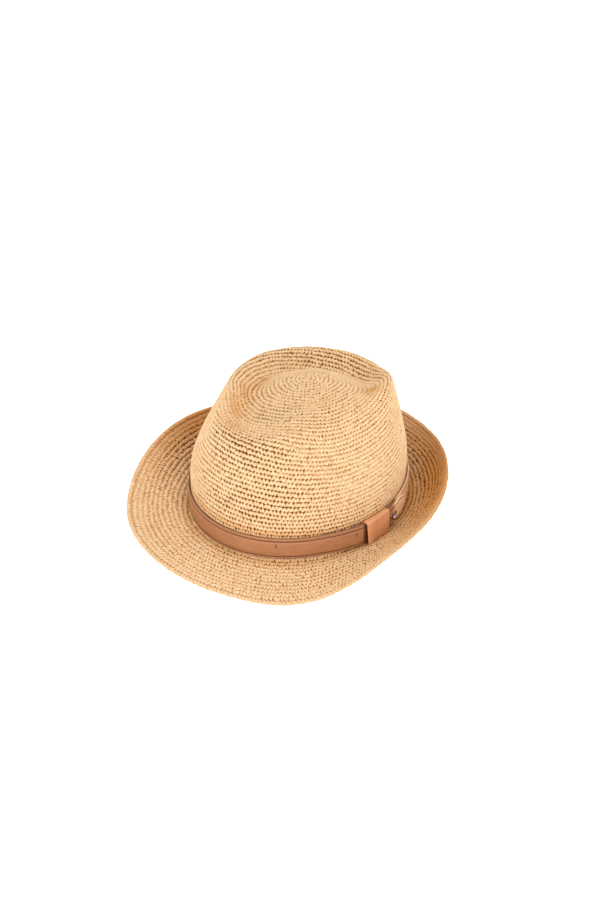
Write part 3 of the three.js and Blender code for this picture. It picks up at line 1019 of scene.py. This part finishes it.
def model_flat_strap():
    rows = np.array(STRAP_ROWS)
    bpy.ops.mesh.primitive_grid_add(x_subdivisions=STRAP_COLUMNS, y_subdivisions=len(rows) - 1, size=1)
    strap = bpy.context.object
    strap.name = "strap"
    bpy.ops.object.mode_set(mode="EDIT")
    bpy.ops.mesh.select_all(action="SELECT")
    bpy.ops.mesh.extrude_region_move(TRANSFORM_OT_translate=dict(value=(0, 0, -1)))
    bpy.ops.object.mode_set(mode="OBJECT")
    unit = co_array(strap)
    column = np.rint((unit[:, 0] + 0.5) * STRAP_COLUMNS).astype(int)
    row = np.rint((unit[:, 1] + 0.5) * (len(rows) - 1)).astype(int)
    is_back = unit[:, 2] < -0.5
    front = rows[row, 1]
    flat = np.stack([flat_positions()[column], rows[row, 0], np.where(is_back, -STRAP_BACK, front)], -1)
    set_co(strap, flat)
    return strap


CUT_DEPTH = 6


def cutter(kind, place, size):
    """A cylinder or block that goes through the strap, in flat millimetres."""
    if kind == "round":
        bpy.ops.mesh.primitive_cylinder_add(vertices=24, radius=size, depth=CUT_DEPTH, location=place)
    else:
        bpy.ops.mesh.primitive_cube_add(size=1, location=place)
        bpy.context.object.scale = size
    bpy.ops.object.transform_apply(location=True, rotation=True, scale=True)
    return bpy.context.object


def cut(piece, tool):
    modifier = piece.modifiers.new("cut", "BOOLEAN")
    modifier.operation = "DIFFERENCE"
    modifier.solver = "EXACT"
    modifier.object = tool
    bpy.context.view_layer.objects.active = piece
    bpy.ops.object.modifier_apply(modifier="cut")
    bpy.data.objects.remove(tool)


STUD_PLACE = place_along(360 + STUD_ANGLE)
SLIT_LENGTH = 6.6
SLIT_WIDTH = 0.8
HOLE_PLACE = STUD_PLACE + SLIT_LENGTH
HOLE_ANGLE = STUD_ANGLE + SLIT_LENGTH / arc_per_degree(STUD_ANGLE)
strap = model_flat_strap()
outward(strap)
cut(strap, cutter("round", (STUD_PLACE, MIDDLE_HEIGHT, 0), 1.6))
slit_middle = (STUD_PLACE + SLIT_LENGTH / 2, MIDDLE_HEIGHT, 0)
cut(strap, cutter("block", slit_middle, (SLIT_LENGTH, SLIT_WIDTH, CUT_DEPTH)))
cut(strap, cutter("round", (HOLE_PLACE, MIDDLE_HEIGHT, 0), 1.5))
print("Flat strap:", len(strap.data.vertices), "corners")

# %% [markdown]
# ## Sewing
# One stitch of thread is modelled once and copied into the pressed lines, dipping into the
# leather at both ends. Two short upright stitches tack the band to the crown.

# %% Model a stitch of thread and copy it
THREAD_PITCH = 3.0
THREAD_RADIUS = 0.30
THREAD_CUTS = (-0.36, 0.0, 0.36)
THREAD_FILL = 0.94            # share of the pitch that a stitch takes
THREAD_LEVEL = -0.16          # mm from the strap's front to the thread's middle
THREAD_DIP = 0.45             # mm that its ends dip into the leather
THREAD_SWAY = 0.05            # mm that it strays from the line
TACK_LENGTH = 3.2
TACK_HALF_WIDTH = 0.45
TACK_HALF_THICKNESS = 0.35
TACK_LEVEL = 0.34
TACK_DIP = 0.35


def dipped(depth):
    return depth * (2 * np.abs(THREAD_CORNERS[:, 0])) ** 3


def sewn_line(height, start, end, rng):
    """Flat corners of the stitches of one line."""
    count = round((end - start) / THREAD_PITCH)
    places = start + (np.arange(count) + 0.5) * (end - start) / count
    along = places[:, None] + THREAD_CORNERS[None, :, 0] * THREAD_PITCH * THREAD_FILL
    out = THREAD_LEVEL - dipped(THREAD_DIP) + THREAD_CORNERS[:, 2] * THREAD_RADIUS
    sway = rng.normal(0, THREAD_SWAY, count)[:, None]
    across = height + THREAD_CORNERS[None, :, 1] * THREAD_RADIUS + sway
    return np.stack(np.broadcast_arrays(along, across, out[None]), -1)


def tack(degrees, height):
    """Flat corners of one upright stitch over the front of the strap."""
    along = place_along(degrees) + THREAD_CORNERS[:, 1] * TACK_HALF_WIDTH
    across = height + THREAD_CORNERS[:, 0] * TACK_LENGTH
    out = TACK_LEVEL - dipped(TACK_DIP) + THREAD_CORNERS[:, 2] * TACK_HALF_THICKNESS
    return np.stack([along, across, out], -1)[None]


thread = cut_cylinder(6, (0, RIGHT_ANGLE, 0), (0, 0, 0), (1, 0, 0), THREAD_CUTS)
THREAD_CORNERS, THREAD_FACES = thread
rng = np.random.default_rng(5)
last_stitch = STRAP_LENGTH - 2.4
lines = [sewn_line(height, 1, last_stitch, rng) for height in (LOWER_LINE, UPPER_LINE)]
lines += [tack(360 + 18.7, 13.6), tack(360 + 58.8, 13.2)]
flat_thread = np.concatenate(lines)
round_thread = wrapped(flat_thread.reshape(-1, 3)).reshape(flat_thread.shape)
thread = mesh_from_copies("thread", round_thread, THREAD_FACES)
outward(thread)
print("Stitches of thread:", len(flat_thread))


# %% Wrap the strap round the crown
def keep_flat_place(piece, flat):
    """Keeps the flat place of each corner, in centimetres, for the leather's colours."""
    keep_vector(piece, "flat", flat / 10)


flat = co_array(strap)
keep_flat_place(strap, flat)
set_co(strap, wrapped(flat))
outward(strap)
print("Strap wrapped, highest point", round(float(co_array(strap)[:, 2].max()) / MM, 1), "mm")

# %% [markdown]
# ## The keeper and the stud
# The keeper is a loop of thicker leather round both layers, ribbed across its front. It
# starts as a ring of rounded corners and is swept a little way round the crown.

# %% Model the keeper
KEEPER_MIDDLE = 71.6          # degrees
KEEPER_LENGTH = 26.0
KEEPER_STEPS = 104
KEEPER_RIBS = 13
RIB_HEIGHT = 0.60
FLARE = 3.0                   # how far the keeper's open end stands off the strap
FLARE_ABOVE = 0.3             # share of it that is left at the upper edge
CORNER_STEPS = 4
KEEPER_CORNER = 1.4
KEEPER_DROP = 0.1             # mm that it sits lower than the strap
KEEPER_BELOW = 0.8            # mm that it reaches past the strap below
KEEPER_ABOVE = 0.7            # and above
RIB_CURVE = 0.7               # under 1 the grooves are narrow and the ribs are wide
RIB_SHALLOW = 0.25            # how deep the grooves are at the open end
RIBS_DEEPEN = (0.1, 0.4)      # shares of the length between which they grow deep
END_SHARE = 0.025             # share of the length that each end is rounded over
END_DROP = 0.5                # mm that it falls there
FLARE_SHARE = 0.4             # share of the length that stands off


def rounded_loop(low_offset, high_offset, low, high, corner):
    """Corners of an upright rounded oblong, as offset and height, and whether in front."""
    loop = []
    for turn, (offset, height) in enumerate(((high_offset, low), (high_offset, high),
                                             (low_offset, high), (low_offset, low))):
        offset = offset - corner if turn < 2 else offset + corner
        height = height + corner if turn in (0, 3) else height - corner
        for k in range(CORNER_STEPS + 1):
            angle = (turn - 1 + k / CORNER_STEPS) * math.pi / 2
            loop.append((offset + corner * math.cos(angle), height + corner * math.sin(angle)))
    return np.array(loop)


def keeper_rings():
    """Outer and inner rings from end to end, and the painted shade of each corner: its groove's depth,
    full on the inside.
    """
    inside = KEEPER_THICKNESS + CLEARANCE
    outside = inside + 2 * LAYER + CLEARANCE
    middle = (inside + outside) / 2
    low = STRAP_LOW - KEEPER_DROP
    high = STRAP_HIGH - KEEPER_DROP
    front = outside + KEEPER_THICKNESS
    outer = rounded_loop(CLEARANCE, front, low - KEEPER_BELOW, high + KEEPER_ABOVE, KEEPER_CORNER)
    inner = rounded_loop(inside, outside, low, high, KEEPER_CORNER / 2)
    loops = []
    for loop, reach, is_outer in ((outer, front, 1), (inner, outside, 0)):
        in_front = smoothstep(loop[:, 0], middle, reach)
        flared = in_front * blend(1.0, FLARE_ABOVE, smoothstep(loop[:, 1], low, high))
        loops.append((loop, in_front * is_outer, flared, 1 - is_outer))
    rings = []
    grooves = []
    for share in np.linspace(0, 1, KEEPER_STEPS + 1):
        turn = (share - 0.5) * KEEPER_LENGTH / arc_per_degree(KEEPER_ANGLE)
        groove = 1 - abs(math.sin(math.pi * KEEPER_RIBS * share)) ** RIB_CURVE
        groove *= blend(RIB_SHALLOW, 1.0, smoothstep(share, *RIBS_DEEPEN))
        end = 1 - min(share, 1 - share) / END_SHARE
        lowered = groove * RIB_HEIGHT if end < 0 else END_DROP * end ** 2
        flare = FLARE * (1 - smoothstep(share, 0, FLARE_SHARE))
        for loop, in_front, flared, dark in loops:
            angle = np.full(len(loop), math.radians(KEEPER_MIDDLE + turn))
            offset = loop[:, 0] - lowered * in_front + flare * flared
            rings.append(beside_foot(angle, offset, loop[:, 1]))
            grooves.append(groove * in_front + dark)
    return np.array(rings), np.array(grooves)


def four_corners(first, second, i, j):
    """A face between corners i and j of the rings that start at first and second."""
    return [first + i, first + j, second + j, second + i]


def keeper_mesh():
    rings, grooves = keeper_rings()
    count = rings.shape[1]
    faces = []
    for i in range(count):
        j = (i + 1) % count
        for ring in range(2 * KEEPER_STEPS):
            face = four_corners(ring * count, (ring + 2) * count, i, j)
            faces.append(face if ring % 2 else face[::-1])
        for ring in (0, 2 * KEEPER_STEPS):
            faces.append(four_corners(ring * count, (ring + 1) * count, i, j))
    mesh = bpy.data.meshes.new("keeper_loop")
    mesh.from_pydata(in_place(rings).reshape(-1, 3), [], faces)
    piece = placed("keeper_loop", mesh)
    steps = np.repeat(np.arange(len(rings)) // 2, count)
    along = steps * KEEPER_LENGTH / KEEPER_STEPS
    keep_flat_place(piece, np.stack([along, rings[..., 2].ravel(), grooves.ravel() * 10], -1))
    outward(piece)
    return piece


keeper = keeper_mesh()
print("Keeper:", len(keeper.data.vertices), "corners")


# %% Model the stud
def band_matrix(degrees, offset, height):
    """A frame on the band: Z out of the leather, X along the band, in metres."""
    angle = np.full(2, math.radians(degrees))
    start, end = in_place(beside_foot(angle, offset + np.arange(2), height))
    out = Vector(end - start).normalized()
    along = Vector((0, 0, 1)).cross(out).normalized()
    turned = Matrix((along, out.cross(along), out)).transposed().to_4x4()
    return Matrix.Translation(Vector(start)) @ turned


# Sizes of the turned parts in mm
STUD_FOOT_THICKNESS = 0.7
NECK_RADIUS = 1.2
NECK_RING = 1.6
NECK_RING_THICKNESS = 0.45
BALL_RADIUS = 2.6


def model_stud():
    """A turned ball stud, drawn standing on its foot."""
    neck_end = strap_offset(STUD_ANGLE) + LAYER + STRAP_THICKNESS + 0.6
    parts = []
    for radius, low, high in (
        (STUD_FOOT / 2, CLEARANCE, CLEARANCE + STUD_FOOT_THICKNESS),
        (NECK_RADIUS, 0.7, neck_end + 0.2),
    ):
        bpy.ops.mesh.primitive_cylinder_add(vertices=32, radius=radius, depth=high - low,
                                            location=(0, 0, (low + high) / 2))
        parts.append(bpy.context.object)
    bpy.ops.mesh.primitive_torus_add(major_radius=NECK_RING, minor_radius=NECK_RING_THICKNESS,
                                     major_segments=32, minor_segments=10,
                                     location=(0, 0, neck_end - 0.1))
    parts.append(bpy.context.object)
    bpy.ops.mesh.primitive_uv_sphere_add(segments=32, ring_count=16, radius=BALL_RADIUS,
                                         location=(0, 0, neck_end + BALL_RADIUS - 0.5))
    parts.append(bpy.context.object)
    stud = joined("ball_stud", parts)
    select([stud])
    bpy.ops.object.transform_apply(location=True, rotation=True, scale=True)
    stud.data.transform(band_matrix(STUD_ANGLE, 0, MIDDLE_HEIGHT) @ Matrix.Scale(MM, 4))
    stud.select_set(False)
    return stud


stud = model_stud()
print("Stud:", len(stud.data.vertices), "corners")

# %% [markdown]
# ## Leather, thread and metal
# Vegetable tanned leather has fine pores, soft blotches and a darker, burnished edge. The
# pressed lines are dark. A painted shadow lies beside the keeper, and painted shade in and
# under the stud's hole. All of this is read from the flat place of each point.

# %% Make the leather
STRAP_TAN = (0.43, 0.185, 0.083)
KEEPER_TAN = (0.76, 0.35, 0.165)
PALE_LEATHER = (0.90, 0.58, 0.34)
# dark brown of the pressed lines, also used for the painted shadow beside the keeper
PRESSED_AND_SHADOW_BROWN = (0.10, 0.030, 0.012)
# colour of the painted shade in the keeper's grooves and on its inside
GROOVE_SHADE_BROWN = (0.13, 0.040, 0.015)
# colour of the painted shade in and under the stud's hole
HOLE_SHADE_BROWN = (0.03, 0.010, 0.008)
BURNISHED = 0.05              # cm of each edge that is burnished


def scaled(colour, factor):
    return tuple(min(value * factor, 1) for value in colour)


def flat_part(leather, axis):
    """The flat place along one axis, in centimetres: X along, Y up, Z the keeper's painted shade."""
    return leather.part(leather.attribute("flat"), axis)


def make_leather(name, colour, edge_low, edge_high):
    leather = Finish(name, Roughness=0.5, Specular_IOR_Level=0.4)
    flat_place = leather.attribute("flat")
    patches = leather.noise(leather.stretched(flat_place, (0.5, 1.6, 1.0)), 1.4, 4.0)
    streaks = leather.noise(leather.stretched(flat_place, (0.8, 14.0, 1.0)), 2.0)
    pores = leather.add("TexVoronoi", None, dict(Vector=flat_place, Scale=16.0))
    height = leather.part(flat_place, "Y")
    low = leather.fade(height, edge_low, edge_low + BURNISHED, 1.0, 0.0)
    high = leather.fade(height, edge_high - BURNISHED, edge_high, 0.0, 1.0)
    leather.put("Base Color", leather.mix(patches, scaled(colour, 0.72), scaled(colour, 1.22)))
    leather.paint_over(streaks * 0.3, scaled(colour, 0.72))
    leather.paint_over((low + high) * 0.75, scaled(colour, 0.45))
    leather.put("Roughness", 0.42 + patches * 0.16)
    leather.bump(pores * 0.6 + streaks * 0.4, 0.00012, 0.5)
    return leather


def add_pressed_lines(leather):
    """The dark lines that the thread lies in, at two heights of the strap."""
    for line in (LOWER_LINE, UPPER_LINE):
        away = leather.beside(flat_part(leather, "Y"), line / 10)
        leather.paint_over(leather.fade(away, 0.028, 0.055, 1.0, 0.0), PRESSED_AND_SHADOW_BROWN)


def add_grooves(leather):
    """The shaded grooves between the keeper's ribs, and its inside."""
    groove = flat_part(leather, "Z")
    # painted shade in the grooves and on the keeper's inside
    leather.paint_over(groove * groove * 0.85, GROOVE_SHADE_BROWN)


def add_pale_part(leather, start, end, amount):
    """The point of the strap and the part behind the stud are less worn and paler."""
    along = flat_part(leather, "X")
    begins = leather.fade(along, start - 0.6, start, 0.0, amount)
    leather.paint_over(begins * leather.fade(along, end, end + 6.0, 1.0, 0.0), PALE_LEATHER)


def add_painted_shadow(leather, place, width, amount):
    """A painted shadow across the strap, where the keeper stands off it."""
    away = leather.beside(flat_part(leather, "X"), place / 10)
    leather.paint_over(leather.fade(away, width / 20, width / 10, amount, 0.0), PRESSED_AND_SHADOW_BROWN)


def add_hole(leather, place):
    """Painted shade in the hole at the end of the slit, and the painted shadow under it on the strap's
    lower layer.
    """
    settings = dict(operation="DISTANCE")
    ends = {0: leather.attribute("flat"), 1: (place / 10, MIDDLE_HEIGHT / 10, 0)}
    away = leather.add("VectorMath", settings, ends, "Value")
    leather.paint_over(leather.fade(away, 0.16, 0.20, 1.0, 0.0), HOLE_SHADE_BROWN)


def make_thread():
    waxed = Finish("waxed_thread", Roughness=0.55, Specular_IOR_Level=0.35)
    twist = waxed.noise(waxed.object_place(), 900.0)
    waxed.put("Base Color", waxed.mix(twist, (0.10, 0.032, 0.014), (0.20, 0.07, 0.03)))
    return waxed.material


def make_stud_metal():
    metal = Finish("stud_metal", Metallic=1.0)
    wear = metal.noise(metal.object_place(), 400.0, 3.0)
    metal.put("Base Color", metal.mix(wear, (0.24, 0.13, 0.12), (0.50, 0.34, 0.32)))
    metal.put("Roughness", 0.12 + wear * 0.2)
    return metal.material


strap_leather = make_leather("strap_leather", STRAP_TAN, STRAP_LOW / 10, STRAP_HIGH / 10)
add_pale_part(strap_leather, place_along(90) / 10, place_along(120) / 10, 0.8)
add_pale_part(strap_leather, place_along(360 + 86) / 10, STRAP_LENGTH, 0.95)
add_pressed_lines(strap_leather)
keeper_half = KEEPER_LENGTH / 2 / arc_per_degree(KEEPER_ANGLE)
# a painted shadow on the strap beside the keeper's open end
add_painted_shadow(strap_leather, place_along(360 + KEEPER_MIDDLE - keeper_half), 3.2, 0.9)
# painted shade in the hole and on the layer under it
for hole_place in (HOLE_PLACE, place_along(HOLE_ANGLE)):
    add_hole(strap_leather, hole_place)
keeper_leather = make_leather("keeper_leather", KEEPER_TAN, 0.05, 2.15)
add_grooves(keeper_leather)

for piece, material, slot_name, node in (
    (strap, strap_leather.material, "band_leather", "hatband"),
    (thread, make_thread(), None, None),
    (keeper, keeper_leather.material, "keeper_leather", "keeper"),
    (stud, make_stud_metal(), "stud_metal", "stud"),
):
    finish_piece(piece, material)
    if node:
        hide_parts(node)
    print(piece.name, "has", len(piece.data.polygons), "faces")

# %% [markdown]
# ## The studio
# The photograph has a white floor, so bright that it burns out, and soft light from all
# round, a little stronger from the upper left.

# %% Floor and light
LIGHT_TARGET = (0, 0, 0.05)


def build_floor():
    bpy.ops.mesh.primitive_plane_add(size=14, location=(0, 4, 0))
    floor = bpy.context.object
    floor.name = "studio_floor"
    paper = Finish("studio_paper", Roughness=0.9, Specular_IOR_Level=0.1, Base_Color=(0.9, 0.9, 0.9, 1),
                   Emission_Color=(1, 1, 1, 1), Emission_Strength=0.65)
    floor.data.materials.append(paper.material)


def area_light(name, place, size, power):
    bpy.ops.object.light_add(type="AREA", location=place)
    light = bpy.context.object
    light.name = name
    light.data.size = size
    light.data.energy = power
    looks = Vector(LIGHT_TARGET) - Vector(place)
    light.rotation_euler = looks.to_track_quat("-Z", "Y").to_euler()


def build_sky(strength):
    world = bpy.context.scene.world or bpy.data.worlds.new("studio")
    bpy.context.scene.world = world
    world.use_nodes = True
    background = world.node_tree.nodes["Background"]
    background.inputs["Color"].default_value = (1.0, 0.98, 0.95, 1)
    background.inputs["Strength"].default_value = strength


build_floor()
build_sky(1.05)
area_light("key_light", (-0.7, -1.4, 2.3), 1.4, 12)
area_light("fill_light", (1.5, -1.4, 1.0), 1.2, 14)
bpy.context.scene.view_settings.view_transform = "Standard"
print("Studio ready")
